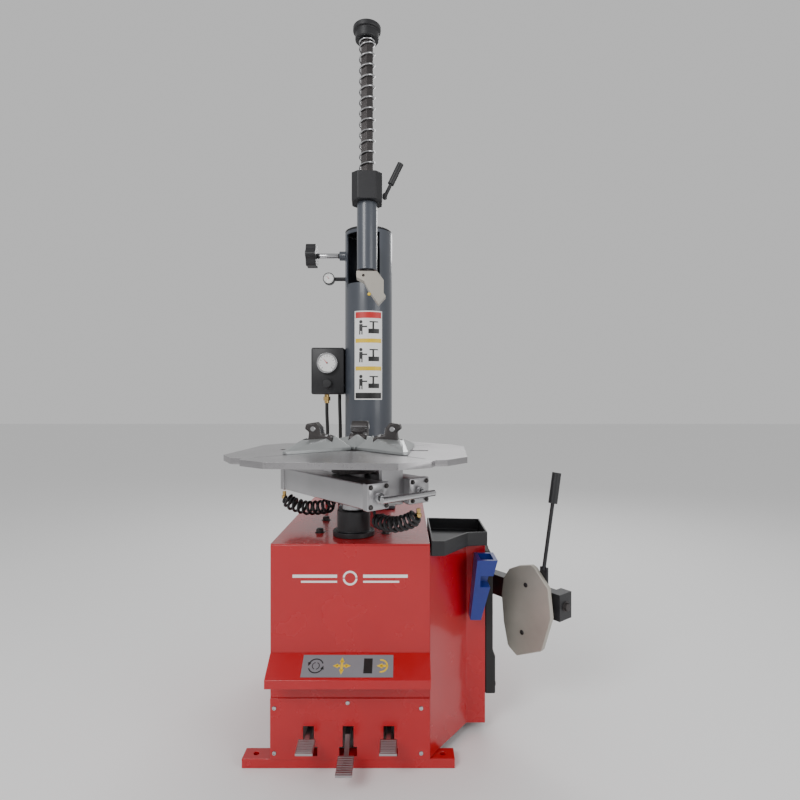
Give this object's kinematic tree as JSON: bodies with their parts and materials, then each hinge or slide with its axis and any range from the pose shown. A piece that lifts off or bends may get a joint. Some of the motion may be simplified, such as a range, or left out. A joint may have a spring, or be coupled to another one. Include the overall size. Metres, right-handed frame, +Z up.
{
  "type": "swing-arm tire changer",
  "caption": "Floor-standing tire changer with a turntable and clamping jaws, a column with a swing arm and mounting head, pedals and a side bead breaker.",
  "frame": {"origin": "centre of the bounding box's bottom face, on the floor", "axes": "+Z up, +Y from the pedals towards the column at the back, +X to the operator's right, where the bead breaker is"},
  "size_m": [0.948, 0.896, 2],
  "materials": {
    "red_paint": "glossy red powder coat",
    "column_paint": "dark blue-grey powder coat",
    "black_plastic": "moulded black plastic",
    "rubber": "matte black rubber",
    "table_steel": "brushed bright steel",
    "cover_grey": "satin light grey",
    "cast_steel": "dark cast and oiled",
    "aluminium": "satin aluminium",
    "chrome": "chrome plated",
    "blade_steel": "zinc-passivated steel",
    "blue_plastic": "moulded blue plastic",
    "brass": "plain brass"
  },
  "bodies": {
    "cabinet": {"base_rail_front": "red_paint", "base_rail_rear": "red_paint", "front_panel": "red_paint", "rear_panel": "red_paint", "left_side_panel": "red_paint", "right_side_panel": "red_paint", "cabinet_top": "red_paint", "pedal_cover": "red_paint", "pedal_hood": "red_paint", "tire_rest_wing": "red_paint", "parts_tray": "black_plastic", "tire_rest_pad": "rubber", "tool_holder": "blue_plastic", "gearbox": "cast_steel", "drive_motor": "column_paint", "turntable_neck": "black_plastic", "pedal_shaft": "chrome", "column": "column_paint", "column_flange": "column_paint", "pivot_floor": "cast_steel", "column_cap": "black_plastic", "gauge_box": "black_plastic", "gauge_dial": "chrome", "hose_fitting": "brass", "line_gauge": "black_plastic", "air_hose_left": "rubber", "air_hose_right": "rubber", "breaker_bracket": "red_paint", "breaker_pin": "chrome", "breaker_cylinder": "aluminium"},
    "turntable": {"turntable_plate": "table_steel", "drive_shaft_disc": "cast_steel", "rotary_distributor": "aluminium", "clamp_cylinder_front": "aluminium", "clamp_cylinder_rear": "aluminium", "cylinder_bracket": "aluminium", "spiral_hose_left": "black_plastic", "spiral_hose_right": "black_plastic"},
    "clamp_rods": {"clamp_rods": "chrome"},
    "jaw_left": {"jaw_cover_left": "cover_grey", "jaw_clamp_left": "cast_steel"},
    "jaw_right": {"jaw_cover_right": "cover_grey", "jaw_clamp_right": "cast_steel"},
    "jaw_rear": {"jaw_cover_rear": "cover_grey", "jaw_clamp_rear": "cast_steel"},
    "swing_arm": {"swing_arm": "column_paint", "lock_housing": "black_plastic", "return_spring": "cast_steel"},
    "tool_shaft": {"tool_shaft": "cast_steel", "shaft_cap": "black_plastic", "mount_head": "blade_steel"},
    "lock_lever": {"lock_lever": "black_plastic"},
    "stop_knob": {"stop_knob": "black_plastic"},
    "breaker_arm": {"breaker_arm": "black_plastic"},
    "breaker_blade": {"breaker_blade": "blade_steel", "blade_lever": "black_plastic"},
    "breaker_rod": {"breaker_rod": "chrome"},
    "pedal_left": {"pedal_left": "aluminium"},
    "pedal_middle": {"pedal_middle": "aluminium"},
    "pedal_right": {"pedal_right": "aluminium"}
  },
  "joints": [
    {"name": "turntable_spin", "type": "hinge", "parent": "cabinet", "child": "turntable", "pos_m": [-0.15295, -0.12698, 0.812], "axis": [0, 0, 1], "continuous": true},
    {"name": "jaw_slide_right", "type": "slide", "parent": "turntable", "child": "jaw_right", "axis": [0.9969, -0.0785, 0], "range_m": [0, 0.095]},
    {"name": "jaw_slide_rear", "type": "slide", "parent": "turntable", "child": "jaw_rear", "axis": [0.0785, 0.9969, 0], "range_m": [0, 0.095]},
    {"name": "jaw_slide_left", "type": "slide", "parent": "turntable", "child": "jaw_left", "axis": [-0.9969, 0.0785, 0], "range_m": [0, 0.095]},
    {"name": "clamp_rod_slide", "type": "slide", "parent": "turntable", "child": "clamp_rods", "axis": [0.6494, -0.7604, 0], "range_m": [0, 0.057]},
    {"name": "swing_arm_turn", "type": "hinge", "parent": "cabinet", "child": "swing_arm", "pos_m": [-0.14095, 0.30902, 1.45], "axis": [0, 0, 1], "range_deg": [-38, 4]},
    {"name": "tool_shaft_slide", "type": "slide", "parent": "swing_arm", "child": "tool_shaft", "axis": [0, 0, 1], "range_m": [-0.26, 0], "stiffness_N_per_m": 250, "springref_m": 0.5, "deforming": ["return_spring"]},
    {"name": "lock_lever_turn", "type": "hinge", "parent": "swing_arm", "child": "lock_lever", "pos_m": [-0.06605, -0.1241, 1.53], "axis": [-0.0572, 0.9984, 0], "range_deg": [0, 25]},
    {"name": "stop_knob_turn", "type": "hinge", "parent": "cabinet", "child": "stop_knob", "pos_m": [-0.34495, 0.30902, 1.478], "axis": [1, 0, 0], "range_deg": [0, 270]},
    {"name": "breaker_arm_swing", "type": "hinge", "parent": "cabinet", "child": "breaker_arm", "pos_m": [0.25205, 0.16902, 0.366], "axis": [0, 0, 1], "range_deg": [-8, 30]},
    {"name": "breaker_rod_slide", "type": "slide", "parent": "cabinet", "child": "breaker_rod", "axis": [1, 0, 0], "range_m": [-0.01, 0.038]},
    {"name": "breaker_blade_swivel", "type": "hinge", "parent": "breaker_arm", "child": "breaker_blade", "pos_m": [0.3456, -0.03756, 0.366], "axis": [0, 0, 1], "range_deg": [-8, 8]},
    {"name": "pedal_left_press", "type": "hinge", "parent": "cabinet", "child": "pedal_left", "pos_m": [-0.26095, -0.06698, 0.092], "axis": [1, 0, 0], "range_deg": [-2, 8], "stiffness_Nm_per_rad": 20, "springref_deg": -0.46},
    {"name": "pedal_middle_press", "type": "hinge", "parent": "cabinet", "child": "pedal_middle", "pos_m": [-0.15795, -0.06698, 0.092], "axis": [1, 0, 0], "range_deg": [0, 6], "stiffness_Nm_per_rad": 6, "springref_deg": -8.59},
    {"name": "pedal_right_press", "type": "hinge", "parent": "cabinet", "child": "pedal_right", "pos_m": [-0.05195, -0.06698, 0.092], "axis": [1, 0, 0], "range_deg": [0, 8], "stiffness_Nm_per_rad": 6, "springref_deg": -8.59}
  ],
  "couplings": [
    {"joint": "jaw_slide_rear", "follows": "jaw_slide_right", "ratio": 1},
    {"joint": "jaw_slide_left", "follows": "jaw_slide_right", "ratio": 1},
    {"joint": "clamp_rod_slide", "follows": "jaw_slide_right", "ratio": 0.6},
    {"joint": "breaker_rod_slide", "follows": "breaker_arm_swing", "m_per_rad": 0.071}
  ]
}
